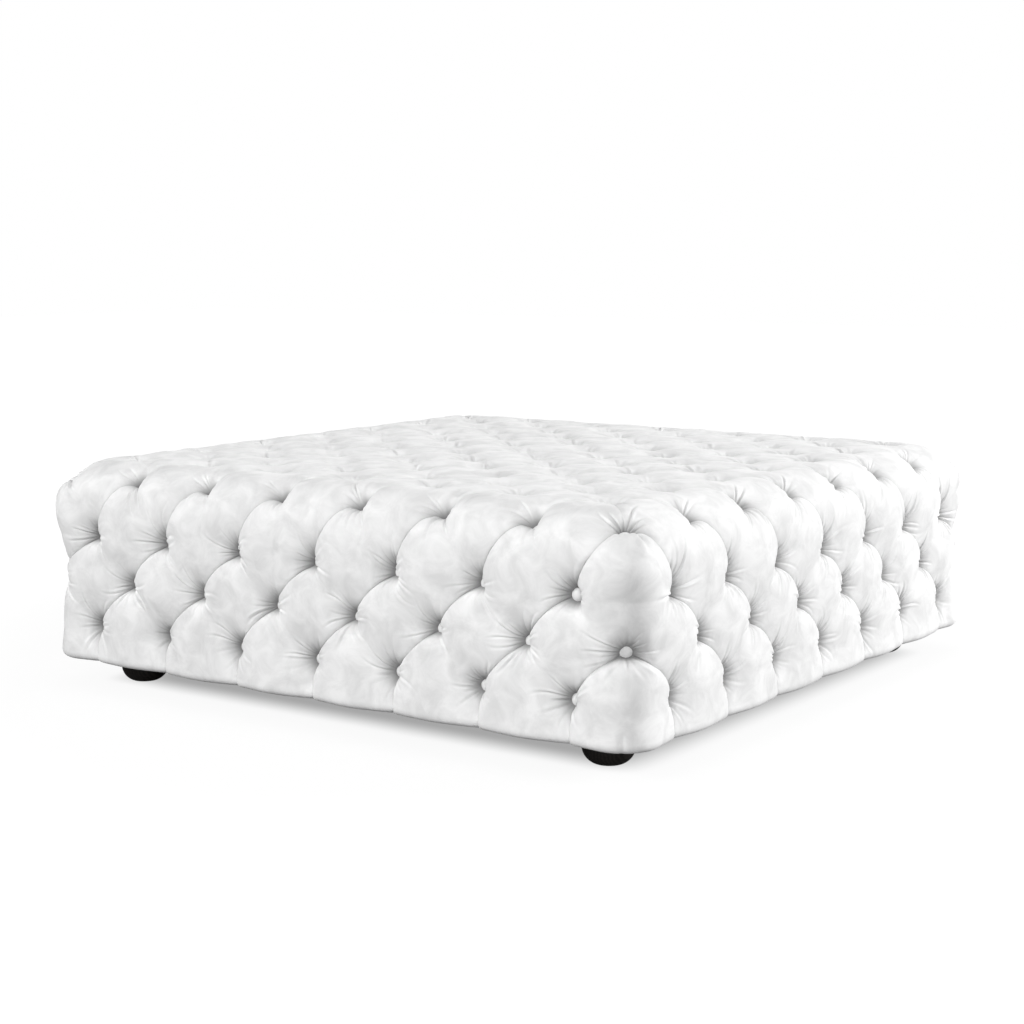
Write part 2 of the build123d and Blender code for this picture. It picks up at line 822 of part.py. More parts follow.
with BuildPart() as tie_toggles:
    for runs in tie_groups.values():
        for seats, depth in runs:
            with Locations(*moved_out(seats, -depth)):
                Cylinder(toggle_diameter / 2, toggle_thickness, align=inward)
tie_toggles.part.label = "tie_toggles"
export_step(tie_toggles.part, "parts/tie_toggles.step")
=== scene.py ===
import math
from collections import namedtuple

import bmesh
import bpy
import numpy as np
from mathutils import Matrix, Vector


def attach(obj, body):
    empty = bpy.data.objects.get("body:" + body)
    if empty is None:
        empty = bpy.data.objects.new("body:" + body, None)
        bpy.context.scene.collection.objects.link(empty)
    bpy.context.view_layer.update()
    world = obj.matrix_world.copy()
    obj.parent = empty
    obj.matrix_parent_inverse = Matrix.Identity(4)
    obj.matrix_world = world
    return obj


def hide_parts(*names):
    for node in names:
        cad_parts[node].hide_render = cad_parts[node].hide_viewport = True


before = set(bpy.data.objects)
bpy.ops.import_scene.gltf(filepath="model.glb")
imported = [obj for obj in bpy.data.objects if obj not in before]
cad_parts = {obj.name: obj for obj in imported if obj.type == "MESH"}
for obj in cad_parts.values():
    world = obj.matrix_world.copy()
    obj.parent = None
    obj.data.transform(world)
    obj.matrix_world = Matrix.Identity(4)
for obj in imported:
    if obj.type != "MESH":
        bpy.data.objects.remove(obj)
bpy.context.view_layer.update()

# Driving sizes, in metres: those of the frame's cover
OVERALL_WIDTH = 1.300
OVERALL_HEIGHT = 0.425
# From the outermost velvet in to the foam core
TUFT_DEPTH = 0.042
# Diamonds along one side
PITCHES = 7
# Height of the lowest row of buttons, and the step from row to row of a side
LOWER_ROW = 0.121
ROW_STEP = 0.083
# The core's bevels: round its top, and at its upright corners
BEVEL_OUT = 0.034
BEVEL_DROP = 0.020
CORNER_BEVEL = 0.024
# Height of the hem, and the share of a corner's round that is lost on the way down to it
HEM = 0.053
HEM_SQUARING = 0.30
# A button's seat over the core, and the least height of the velvet there
SEAT_LIFT = 0.005
LEAST_HEIGHT = SEAT_LIFT - 0.001

# Camera: angles in degrees, lengths in metres, lens and sensor in millimetres
CAMERA_AZIMUTH = 34.97
CAMERA_ELEVATION = 8.021
CAMERA_DISTANCE = 3.8113
CAMERA_TARGET = (-0.02765, -0.00723, 0.30149)
CAMERA_LENS = 68.479
CAMERA_SENSOR = 36

# Light levels: the studio's on the object, the floor's own colour, and its glow that only the camera sees
WORLD_LEVEL = 0.30
FLOOR_LEVEL = 0.12
FLOOR_GLOW = 0.90
# The glow rises to white between these distances from the middle
GLOW_FROM, GLOW_TO = 1.0, 2.4
FLOOR_REACH = 14
# Painted shadow: under the ottoman the glow dims from the first distance inward to the second, down to the
# level
SHADE_FROM, SHADE_TO, SHADE_LEVEL = 0.588, 0.485, 0.42
# The painted shadow's square reaches this much further out to the right and left, and its corners are
# rounded
SHADE_WIDER = 0.022
SHADE_ROUNDING = 0.1
# Each softbox has a name, a place, an aim, a width in metres and a power in watts
SOFTBOXES = [
    ("left", (-3.0, -4.8, 2.6), (0, -0.5, 0.2), 1.2, 178),
    ("right", (4.6, 3.8, 1.9), (0.5, 0, 0.2), 1.7, 366),
    ("front", (2.3, -3.5, 1.1), (0.2, -0.2, 0.25), 1.8, 70),
    ("overhead", (0, 0.6, 3.2), (0, 0, 0.4), 2.0, 8),
]

# The core, the buttons' half pitch and the height of a side's upper row of buttons
CORE_HALF = OVERALL_WIDTH / 2 - TUFT_DEPTH
CORE_TOP = OVERALL_HEIGHT - TUFT_DEPTH
HALF_PITCH = CORE_HALF / PITCHES
UPPER_ROW = LOWER_ROW + 2 * ROW_STEP
# The middle of the bevel round the core's top, and its slant from upright
EDGE_OUT = CORE_HALF - BEVEL_OUT / 2
EDGE_UP = CORE_TOP - BEVEL_DROP / 2
EDGE_LEAN = math.atan2(BEVEL_OUT, BEVEL_DROP)
# The round that comes as near to an upright corner as the bevel there does
CORNER_RADIUS = CORNER_BEVEL / (2 - math.sqrt(2))
# How strongly the curve over the top's edge keeps the slopes of its ends
SLOPE_GAIN = 1.06
# Height over the core at which the lattice is evenly spaced round an upright corner
BEND_HEIGHT = 0.020

# Rings of the lattice: half pitches out from the middle of the top to its edge, then rows down the sides
LAST_TOP = PITCHES - 1
EDGE = PITCHES
UPPER, MIDDLE, LOWER, HEM_ROW = range(EDGE + 1, EDGE + 5)
# Half pitches all the way round the ottoman
AROUND = 4 * 2 * PITCHES
SIDES = ["front", "right", "back", "left"]

# Mesh steps: across a side's pillow, across the top's, down to the hem and round it
CELL_STEPS = 70
TOP_STEPS = 33
HEM_STEPS = 22
HEM_TURNS = 5
# How much closer the steps lie at a pillow's folds: from 0, evenly spaced, to 1
CROWDING = 0.5
# Points this near to each other are joined
JOIN_DISTANCE = 2e-5
# Least values, so that nothing is divided by zero and no rounding decides
TINY = 1e-9
LEAST_SPAN = 1e-6

# Pillows, in metres over the core: the height that they stand at, their swell and their lean
SIDE_BASE, SIDE_PUFF, SIDE_LEAN = 0.0380, 0.0060, 0.0045
TOP_BASE, TOP_PUFF = 0.0405, 0.0020
SWELL_POWER = 1.2
SIDE_FULLNESS = (0.75, 1.2)
TOP_FULLNESS = (0.7, 1.3)
TOP_SEED = 7
# Funnels round a button: seat, near and wide reach, and the near part's share of the pull
FUNNELS = {
    "steep": (0.0060, 0.0080, 0.030, 0.85),
    "gentle": (0.0060, 0.0125, 0.032, 0.58),
    "open": (0.0120, 0.0095, 0.030, 0.80),
    "top": (0.0060, 0.0085, 0.024, 0.88),
}
FUNNEL_END = 0.115
# Folds: depth, reach and power of the hollow along them, and the depth of the thin groove in it
FOLDS = {
    "steep": (0.0040, 0.0035, 1, 0.0044),
    "gentle": (0.0040, 0.0090, 1.15, 0.0044),
    "soft": (0.0006, 0.020, 2, 0),
    "crease": (0.0018, 0.0070, 1.3, 0.0016),
    "short": (0.0045, 0.0030, 1, 0),
}
GROOVE_REACH = 0.0019
# Folds fade out over this length at their ends; a short one starts faster and ends before the middle
FOLD_FADE = 0.020
SHORT_FADE = 0.006
SHORT_END = 0.042
# A pillow that stands proud of its neighbour steps down to it over this distance from a steep fold
STEP_REACH = 0.0060
# How far the folds below each ring of buttons bow, in half pitches, and those below a corner's buttons
BOWS = {LAST_TOP: 0.15, EDGE: 0.15, UPPER: 0.09, MIDDLE: 0.06}
CORNER_BOWS = {EDGE: 0.145, MIDDLE: 0.10}

# Pleats from the lowest buttons to the hem: they deepen over the first share of their length, and past
# the second one they lose some of their depth
PLEAT_DEPTH, PLEAT_REACH, PLEAT_POWER = 0.0060, 0.0070, 1.1
PLEAT_START, PLEAT_EASE, PLEAT_LOSS = 0.35, 0.4, 0.5
# The seam at the foot of a corner: its place along the pillow, its reach and its depth, the share of
# the way down where it starts, and the share over which it deepens
SEAM_PLACE, SEAM_REACH, SEAM_DEPTH = 0.45, 0.014, 0.0035
SEAM_START, SEAM_RAMP = 0.45, 0.5
# The hem's round edge, how much higher it is under a pleat, and how far it sags
HEM_RADIUS = 0.013
HEM_SCALLOP = 0.0012
HEM_SAG = 0.0008
# The velvet turned in under the hem: how far it sags, and each ring's inset and share of the scallop
UNDER_SAG = 0.0006
UNDER_RINGS = [(HEM_RADIUS + 0.006, 0.7), (0.055, 0)]

# Fine wrinkles round a button: the ranges of their number, of how far each is off its even place, and
# of its length, depth, width and bend
WRINKLE_COUNTS = (13, 18)
WRINKLE_SHIFTS = (-0.3, 0.3)
WRINKLE_LENGTHS = (0.026, 0.078)
WRINKLE_DEPTHS = (0.0008, 0.0046)
WRINKLE_WIDTHS = (0.0005, 0.0010)
WRINKLE_BENDS = (-0.45, 0.45)
# A wrinkle has turned by its bend, in radians, at this distance, and widens by this share of its way out
BEND_REACH = 0.07
WRINKLE_WIDENING = 0.030
# It starts this far out, deepens over the next stretch, and keeps its depth for this share of its length
WRINKLE_START, WRINKLE_RAMP = 0.009, 0.008
WRINKLE_FULL = 0.3
# The ridge beside it: height in its depths, distance and width in its widths
RIDGE_HEIGHT, RIDGE_ASIDE, RIDGE_WIDTH = 0.55, 1.9, 1.4
# Wrinkles fade out this near to a fold; their depth on the top and at the corner tufts, against the sides
WRINKLE_FADE = 0.006
TOP_WRINKLES = 0.9
CORNER_WRINKLES = 1.8

# Velvet: the greys of its pile. Down in a tuft its colour is darkened as painted shade: below the first
# height over the core it has the level, above the second one it is as light as elsewhere
VELVET_DARK = (0.73, 0.73, 0.73)
VELVET_LIGHT = (0.89, 0.89, 0.89)
TUFT_SHADE_BELOW, UNSHADED_ABOVE, TUFT_SHADE_LEVEL = 0.006, 0.034, 0.28

# What shapes a side's pillow, and one button round a pillow
Pillow = namedtuple("Pillow", "centre row rises_right at_corner kinds top_kinds bows edges funnels buttons")
Button = namedtuple("Button", "spot funnel at_corner rng")


def smooth(t):
    """Rises softly from 0 to 1 while t goes from 0 to 1."""
    t = np.clip(t, 0, 1)
    return t * t * (3 - 2 * t)


def hermite(t, start, end, start_slope, end_slope):
    """A cubic between two values with the slopes at its ends, and its slope."""
    a = 2 * t**3 - 3 * t**2 + 1
    b = t**3 - 2 * t**2 + t
    c = -2 * t**3 + 3 * t**2
    d = t**3 - t**2
    value = a * start + b * start_slope + c * end + d * end_slope
    da = 6 * t**2 - 6 * t
    db = 3 * t**2 - 4 * t + 1
    dc = -6 * t**2 + 6 * t
    dd = 3 * t**2 - 2 * t
    return value, da * start + db * start_slope + dc * end + dd * end_slope


def profile(v):
    """The core's outline at ring v: distance out, height, and the normal's outward and upward parts."""
    v = np.asarray(v, float)
    out = np.minimum(v, LAST_TOP) * HALF_PITCH
    up = np.full_like(out, CORE_TOP)
    slope_out, slope_up = np.ones_like(out), np.zeros_like(out)
    last_flat, edge, upper = (LAST_TOP * HALF_PITCH, CORE_TOP), (EDGE_OUT, EDGE_UP), (CORE_HALF, UPPER_ROW)
    edge_way = (math.sin(EDGE_LEAN), -math.cos(EDGE_LEAN))
    spans = [(LAST_TOP, last_flat, edge, (1, 0), edge_way), (EDGE, edge, upper, edge_way, (0, -1))]
    for first, start, end, start_way, end_way in spans:
        inside = (v > first) & (v <= first + 1)
        t = np.clip(v - first, 0, 1)
        length = math.dist(start, end) * SLOPE_GAIN
        o, do = hermite(t, start[0], end[0], start_way[0] * length, end_way[0] * length)
        z, dz = hermite(t, start[1], end[1], start_way[1] * length, end_way[1] * length)
        out, up = np.where(inside, o, out), np.where(inside, z, up)
        slope_out, slope_up = np.where(inside, do, slope_out), np.where(inside, dz, slope_up)
    below = v > UPPER
    to_lower = UPPER_ROW - (v - UPPER) * ROW_STEP
    to_hem = LOWER_ROW - (v - LOWER) * (LOWER_ROW - HEM)
    out = np.where(below, CORE_HALF, out)
    up = np.where(below, np.where(v > LOWER, to_hem, to_lower), up)
    slope_out, slope_up = np.where(below, 0, slope_out), np.where(below, -1, slope_up)
    size = np.hypot(slope_out, slope_up)
    return out, up, -slope_up / size, slope_out / size


def place(i, v, h):
    """A point at i along the front, at ring v and height h over the core. Past the corner it mirrors."""
    i, v, h = np.broadcast_arrays(np.asarray(i, float), np.asarray(v, float), np.asarray(h, float))
    past = i > EDGE
    along = np.abs(np.where(past, 2 * EDGE - i, i))
    out, up, n_out, n_up = profile(v)
    radius = CORNER_RADIUS * np.clip(v - EDGE, 0, 1) * (1 - HEM_SQUARING * smooth(v - LOWER))
    # f goes from 0 to 1 over the last half pitch: first straight on, then from f_bend round the corner
    near = LAST_TOP * HALF_PITCH
    straight = out - radius - near
    last = np.clip(np.minimum(v, EDGE) - LAST_TOP, LEAST_SPAN, 1)
    f = np.clip((along - LAST_TOP) / last, 0, 1)
    bend = (radius + BEND_HEIGHT * n_out) * math.pi / 4
    f_bend = straight / np.maximum(straight + bend, TINY)
    turn = np.clip((f - f_bend) / np.maximum(1 - f_bend, TINY), 0, 1) * math.pi / 4
    run = near + straight * np.clip(f / np.maximum(f_bend, TINY), 0, 1)
    x = np.where(along <= LAST_TOP, along * HALF_PITCH, run) + radius * np.sin(turn)
    y = out - radius + radius * np.cos(turn)
    x = x + h * n_out * np.sin(turn)
    y = y + h * n_out * np.cos(turn)
    x = np.where(i < 0, -x, x)
    z = up + h * n_up
    return np.stack([np.where(past, y, x), np.where(past, -x, -y), z], -1)


def turned(points, quarter):
    """Points turned by a number of quarter turns, anticlockwise from above."""
    c, s = round(math.cos(quarter * math.pi / 2)), round(math.sin(quarter * math.pi / 2))
    x, y = points[..., 0], points[..., 1]
    return np.stack([c * x - s * y, s * x + c * y, points[..., 2]], -1)


def place_top(i, j, h):
    """A point of the top at lattice place (i, j) and height h over the core."""
    i, j, h = np.broadcast_arrays(np.asarray(i, float), np.asarray(j, float), np.asarray(h, float))
    v = np.maximum(np.abs(i), np.abs(j))
    result = np.zeros(i.shape + (3,))
    # The side that a place is nearest to, in quarter turns from the front
    nearest = np.where(-j >= v - TINY, 0, np.where(i >= v - TINY, 1, np.where(j >= v - TINY, 2, 3)))
    for quarter, along in enumerate([i, j, -i, -j]):
        mask = nearest == quarter
        bent = turned(place(np.clip(along[mask], -v[mask], v[mask]), v[mask], h[mask]), quarter)
        flat = np.stack([i[mask] * HALF_PITCH, j[mask] * HALF_PITCH, CORE_TOP + h[mask]], -1)
        result[mask] = np.where((v[mask] <= LAST_TOP)[..., None], flat, bent)
    return result


def sheet(i, v):
    """A lattice place on the cover laid flat, in metres: along the side and down."""
    v = np.asarray(v, float)
    down = np.minimum(v, UPPER) * HALF_PITCH + np.clip(v - UPPER, 0, LOWER - UPPER) * ROW_STEP
    down = down + np.maximum(v - LOWER, 0) * (LOWER_ROW - HEM)
    return np.asarray(i, float) * HALF_PITCH, down


def to_segment(x, y, start, end):
    """Distance to a straight fold, and how far along it in metres from its nearer end."""
    (sx, sy), (ex, ey) = start, end
    dx, dy = ex - sx, ey - sy
    length = math.hypot(dx, dy)
    t = np.clip(((x - sx) * dx + (y - sy) * dy) / length**2, 0, 1)
    return np.hypot(x - sx - t * dx, y - sy - t * dy), np.minimum(t, 1 - t) * length


def fold(kind, distance, along):
    """How deep a fold pulls the velvet down."""
    depth, reach, power, groove = FOLDS[kind]
    ends = smooth(along / FOLD_FADE)
    if kind == "short":
        ends = smooth(along / SHORT_FADE) * (1 - smooth(along / SHORT_END))
    hollow = depth * np.exp(-((distance / reach) ** power))
    return (hollow + groove * np.exp(-distance / GROOVE_REACH)) * ends


def pleat(distance, down):
    """How deep a pleat pulls the velvet in, at a share of its way down."""
    loss = PLEAT_LOSS * smooth((down - PLEAT_EASE) / (1 - PLEAT_EASE))
    depth = PLEAT_DEPTH * smooth(down / PLEAT_START) * (1 - loss)
    return depth * np.exp(-((distance / PLEAT_REACH) ** PLEAT_POWER))


def funnel(r, kind):
    """Share of a button's pull at a distance from its middle."""
    seat, near, wide, share = FUNNELS[kind]
    reach = np.maximum(r - seat, 0)
    pull = share * np.exp(-reach / near) + (1 - share) * np.exp(-reach / wide)
    return pull * np.clip(1 - (r / FUNNEL_END) ** 2, 0, None) ** 2


def wrinkles(rng, dx, dy):
    """Depth of the fine wrinkles that run out from one button all round it."""
    r, angle = np.hypot(dx, dy), np.arctan2(dy, dx)
    depth = np.zeros_like(r)
    count = rng.integers(*WRINKLE_COUNTS)
    turn = rng.uniform(0, 2 * math.pi)
    for number in range(count):
        way = turn + 2 * math.pi * (number + rng.uniform(*WRINKLE_SHIFTS)) / count
        length = rng.uniform(*WRINKLE_LENGTHS)
        size = rng.uniform(*WRINKLE_DEPTHS)
        width = rng.uniform(*WRINKLE_WIDTHS)
        bend = rng.uniform(*WRINKLE_BENDS)
        off = angle - way - bend * (r / BEND_REACH) ** 2
        aside = r * np.sin(off)
        w = width + WRINKLE_WIDENING * r
        end = smooth((r - WRINKLE_FULL * length) / ((1 - WRINKLE_FULL) * length))
        fade = smooth((r - WRINKLE_START) / WRINKLE_RAMP) * (1 - end)
        ridge = RIDGE_HEIGHT * np.exp(-(((aside - RIDGE_ASIDE * w) / (RIDGE_WIDTH * w)) ** 2))
        groove = np.exp(-((aside / w) ** 2)) - ridge
        depth += size * fade * groove * (np.cos(off) > 0)
    return depth


def rise(t):
    """A pillow's swell from one fold to the opposite one."""
    return np.sin(np.pi * np.clip(t, 0, 1)) ** SWELL_POWER


def lean(a, b, pillow):
    """A pillow stands proud at its steep folds and dives under at its gentle ones: from 0.5 to -0.5."""
    if pillow.at_corner:
        return 0.5 - b * (1 - a) if pillow.rises_right else a * (1 - b) - 0.5
    return 0.5 - b if pillow.rises_right else a - 0.5


def tuft_height(x, y, swell, base, leaning, folds, pleats, buttons, wrinkling):
    """Height of one pillow over the core, from its folds, its hem pleats and its buttons."""
    h = base + swell
    own, under = h + SIDE_LEAN * leaning, h - SIDE_LEAN / 2
    depth = np.zeros_like(h)
    for button in buttons:
        dx, dy = x - button.spot[0], y - button.spot[1]
        r = np.hypot(dx, dy)
        own = own - (base - SEAT_LIFT) * funnel(r, button.funnel)
        under = under - (base - SEAT_LIFT) * funnel(r, "gentle")
        gain = CORNER_WRINKLES if button.at_corner else 1
        depth = depth + gain * wrinkles(button.rng, dx, dy)
    step, edge, pull = np.ones_like(h), np.ones_like(h), np.zeros_like(h)
    for kind, start, end in folds:
        distance, along = to_segment(x, y, start, end)
        pull = pull + fold(kind, distance, along)
        if kind == "steep":
            step = np.minimum(step, smooth(distance / STEP_REACH))
        if kind != "soft":
            edge = np.minimum(edge, smooth(distance / WRINKLE_FADE))
    for kind, start, end in pleats:
        distance, _ = to_segment(x, y, start, end)
        pull = pull + pleat(distance, (y - start[1]) / (end[1] - start[1]))
        if kind == "steep":
            step = np.minimum(step, smooth(distance / STEP_REACH))
        edge = np.minimum(edge, smooth(distance / WRINKLE_FADE))
    return own * step + under * (1 - step) - pull - wrinkling * depth * edge


def top_height(x, y, swell, folds, buttons):
    """Height of one of the top's pillows over the core."""
    return tuft_height(x, y, TOP_PUFF * swell, TOP_BASE, 0, folds, [], buttons, TOP_WRINKLES)


def side_height(i, v, a, b, pillow, fullness, pleats):
    """Height of one of a side's pillows; those at the top edge blend into the top's."""
    x, y = sheet(i, v)
    swell = fullness * rise(a) * rise(b)
    folds = [(kind, *ends) for kind, ends in zip(pillow.kinds, pillow.edges) if kind]
    buttons = [Button(spot, funnel, at_corner, button_rng(*seed))
               for spot, funnel, at_corner, seed in pillow.buttons]
    h = tuft_height(x, y, SIDE_PUFF * swell, SIDE_BASE, lean(a, b, pillow), folds, pleats, buttons, 1)
    if pillow.row == EDGE:
        folds = [(kind, *ends) for kind, ends in zip(pillow.top_kinds, pillow.edges)]
        buttons = [button._replace(funnel="open" if button.at_corner else "top") for button in buttons]
        upper, lower = np.minimum(b, 1 - a), np.minimum(a, 1 - b)
        share = smooth(upper / np.maximum(upper + lower, TINY))
        h = h * share + top_height(x, y, swell, folds, buttons) * (1 - share)
    return np.maximum(h, LEAST_HEIGHT)


def spread(count):
    """Places from 0 to 1, closer together at both ends."""
    s = np.linspace(0, 1, count + 1)
    return (1 - CROWDING) * s + CROWDING * (0.5 - 0.5 * np.cos(np.pi * s))


def grid_faces(rows, columns):
    """The faces of a grid of points, as arrays of corner numbers."""
    n = np.arange(rows * columns).reshape(rows, columns)
    return [np.stack([n[:-1, :-1], n[1:, :-1], n[1:, 1:], n[:-1, 1:]], -1).reshape(-1, 4)]


def half_grid_faces(count):
    """The faces of a square grid on one side of its diagonal, with triangles along it. The points on
    the diagonal's other side stay loose."""
    n = np.arange(count * count).reshape(count, count)
    p, q = np.tril_indices(count - 1, -1)
    d = np.arange(count - 1)
    return [
        np.stack([n[p, q], n[p + 1, q], n[p + 1, q + 1], n[p, q + 1]], -1),
        np.stack([n[d, d], n[d + 1, d], n[d + 1, d + 1]], -1),
    ]


class Patches:
    """Grids of points that make up one mesh, with their faces and their heights over the core."""

    def __init__(self):
        self.points, self.heights, self.faces = [], [], []
        self.count = 0

    def add(self, points, heights, faces):
        """Adds a grid, with faces that count its points from 0."""
        self.points.append(points.reshape(-1, 3))
        self.heights.append(heights.ravel())
        self.faces += [corners + self.count for corners in faces]
        self.count += heights.size


def mesh_object(name, patches, quarter):
    """A smooth mesh from patches, turned to its side, with what lies in one place joined."""
    mesh = bpy.data.meshes.new(name)
    points = turned(np.concatenate(patches.points), quarter)
    corners = np.concatenate([faces.ravel() for faces in patches.faces])
    totals = np.concatenate([np.full(len(faces), faces.shape[1]) for faces in patches.faces])
    mesh.vertices.add(len(points))
    mesh.vertices.foreach_set("co", points.astype(np.float32).ravel())
    mesh.loops.add(len(corners))
    mesh.loops.foreach_set("vertex_index", corners.astype(np.int32))
    mesh.polygons.add(len(totals))
    mesh.polygons.foreach_set("loop_start", (np.cumsum(totals) - totals).astype(np.int32))
    mesh.update(calc_edges=True)
    height = mesh.attributes.new("tuft_height", "FLOAT", "POINT")
    height.data.foreach_set("value", np.concatenate(patches.heights).astype(np.float32))
    obj = bpy.data.objects.new(name, mesh)
    bpy.context.scene.collection.objects.link(obj)
    work = bmesh.new()
    work.from_mesh(mesh)
    bmesh.ops.remove_doubles(work, verts=work.verts, dist=JOIN_DISTANCE)
    bmesh.ops.recalc_face_normals(work, faces=work.faces)
    work.to_mesh(mesh)
    work.free()
    mesh.polygons.foreach_set("use_smooth", [True] * len(mesh.polygons))
    return obj


def side_cells(rows):
    """Centre and row of each of a side's pillows. Every second row has one on the corner."""
    for row in rows:
        on_corner = row in (UPPER, LOWER)
        for centre in range(-EDGE + 2 if on_corner else -LAST_TOP, EDGE + 1, 2):
            yield centre, row


def button_rng(quarter, i, v):
    """Random source of one button, the same for all pillows round it."""
    return np.random.default_rng([(quarter * 2 * PITCHES + i) % AROUND, v])


def fold_bow(quarter, upper_end, is_crisp):
    """How far a fold bows, from the lattice place of the button at its upper end."""
    i, v = upper_end
    if not is_crisp:
        return 0
    if v in CORNER_BOWS and abs(i) == EDGE:
        return CORNER_BOWS[v]
    # The top's folds all bow one way, which is the other way round on the back and the left side
    return -BOWS[v] if v == LAST_TOP and quarter > 1 else BOWS.get(v, 0)


def side_pillow(quarter, centre, row):
    """What shapes a side's pillow. Folds go upper left, upper right, lower right, lower left; corners
    go left, top, right, low."""
    rises_right, at_corner = quarter % 2 == 0, centre == EDGE
    if rises_right:
        kinds = ["steep", "steep", "soft", "soft"] if at_corner else ["steep", "soft", "gentle", "soft"]
        top_kinds = ["crease", "short", "crease", "short"]
        funnels = ["steep", "steep", "steep" if at_corner else "gentle", "gentle"]
        # The two buttons that show whole beside and on the corner sit in open funnels
        if (centre, row) == (EDGE, UPPER):
            funnels[0] = "open"
        if (centre, row) in ((EDGE, LOWER), (LAST_TOP, MIDDLE)):
            funnels[1] = "open"
    else:
        kinds = ["soft", "soft", "gentle", "gentle"] if at_corner else ["soft", "steep", "soft", "gentle"]
        top_kinds = ["short", "crease", "short", "crease"]
        funnels = ["gentle", "steep", "gentle" if at_corner else "steep", "gentle"]
    # Over the top's edge the top's kinds count, and from the lowest buttons down there are pleats
    if row == EDGE:
        kinds[:2] = [None, None]
    if row == LOWER:
        kinds[2:] = [None, None]
    crisp = [kind in ("steep", "gentle") for kind in kinds]
    if row == EDGE:
        crisp[:2] = [rises_right, not rises_right]
    left, top, right, low = (centre - 1, row), (centre, row - 1), (centre + 1, row), (centre, row + 1)
    upper_ends = (top, top, right, left)
    bows = [fold_bow(quarter, upper_end, is_crisp) for upper_end, is_crisp in zip(upper_ends, crisp)]
    # The folds that run into the top's corners are straight, and creases
    if row == EDGE and abs(centre) == LAST_TOP:
        mitre = 1 if centre > 0 else 0
        bows[mitre] = 0
        top_kinds[mitre] = "crease"
    spots = [sheet(*corner) for corner in (left, top, right, low)]
    buttons = [(spot, funnel, abs(i) == v == EDGE, (quarter, i, v))
               for spot, funnel, (i, v) in zip(spots, funnels, (left, top, right, low)) if v <= LOWER]
    edges = list(zip(spots, spots[1:] + spots[:1]))
    return Pillow(centre, row, rises_right, at_corner, kinds, top_kinds, bows, edges, funnels, buttons)


def bowed(a, b, bows):
    """How far the folds' bows move a place of a pillow, along the lattice's two ways."""
    arc_a, arc_b = 4 * a * (1 - a), 4 * b * (1 - b)
    return arc_b * (a * bows[1] + (1 - a) * bows[3]), -arc_a * ((1 - b) * bows[0] + b * bows[2])


def pillow_patch(pillow, fullness, pleats):
    """Points and heights of one of a side's pillows."""
    t = spread(CELL_STEPS)
    a, b = np.meshgrid(t, t, indexing="ij")
    i, v = pillow.centre + a + b - 1, pillow.row + b - a
    move_a, move_b = bowed(a, b, pillow.bows)
    h = side_height(i, v, a, b, pillow, fullness, pleats)
    return place(i + move_a + move_b, v + move_b - move_a, h), h


def hem_pleats(pillow):
    """The pleats from a lowest pillow's left and right button down to the hem."""
    return [
        ("steep" if kind == "steep" else "gentle", sheet(i, LOWER), sheet(i, HEM_ROW))
        for i, kind in ((pillow.centre - 1, pillow.funnels[0]), (pillow.centre + 1, pillow.funnels[2]))
    ]


def skirt_patch(pillow, fullness, pleats):
    """Points and heights of a lowest pillow from its middle down, round the hem and in under it."""
    t = spread(CELL_STEPS)
    x, down = np.meshgrid(t, np.linspace(0, 1, HEM_STEPS + 1), indexing="ij")
    i = pillow.centre - 1 + 2 * x
    v = LOWER + down * (LOWER_ROW - HEM - HEM_RADIUS) / (LOWER_ROW - HEM)
    h = side_height(i, v, x, x, pillow, fullness, pleats)
    if pillow.at_corner:
        ramp = smooth((down - SEAM_START) / SEAM_RAMP)
        h = h - SEAM_DEPTH * np.exp(-(((x - SEAM_PLACE) / SEAM_REACH) ** 2)) * ramp
    move_a, move_b = bowed(t, t, pillow.bows)
    fade = 1 - smooth(down)
    rings = [place(i + (move_a + move_b)[:, None] * fade, v + (move_b - move_a)[:, None] * fade, h)]
    i_end, v_end, h_end = i[:, -1], v[:, -1], h[:, -1]
    scallop = HEM_SCALLOP * np.abs(2 * t - 1) ** 4
    for turn in range(1, HEM_TURNS + 1):
        angle = turn * math.pi / (2 * HEM_TURNS)
        ring = place(i_end, v_end, h_end - HEM_RADIUS * (1 - math.cos(angle)))
        ring[:, 2] = HEM + HEM_RADIUS * (1 - math.sin(angle)) - HEM_SAG + scallop * math.sin(angle)
        rings.append(ring[:, None])
    for inset, share in UNDER_RINGS:
        ring = place(i_end, v_end, h_end - inset)
        ring[:, 2] = HEM - UNDER_SAG + scallop * share
        rings.append(ring[:, None])
    heights = np.concatenate([h, np.tile(h_end[:, None], len(rings) - 1)], 1)
    return np.concatenate(rings, 1), heights


def side_mesh(quarter, part, rows):
    """The velvet of two rows of a side's pillows, and of the hem where they are the lowest."""
    rng = np.random.default_rng([quarter, rows[0]])
    patches = Patches()
    for centre, row in side_cells(rows):
        pillow = side_pillow(quarter, centre, row)
        fullness = rng.uniform(*SIDE_FULLNESS)
        if row < LOWER:
            points, heights = pillow_patch(pillow, fullness, [])
            patches.add(points, heights, grid_faces(*heights.shape))
        else:
            pleats = hem_pleats(pillow)
            points, heights = pillow_patch(pillow, fullness, pleats)
            patches.add(points, heights, half_grid_faces(len(heights)))
            points, heights = skirt_patch(pillow, fullness, pleats)
            patches.add(points, heights, grid_faces(*heights.shape))
    return mesh_object(f"velvet_{SIDES[quarter]}_{part}", patches, quarter)


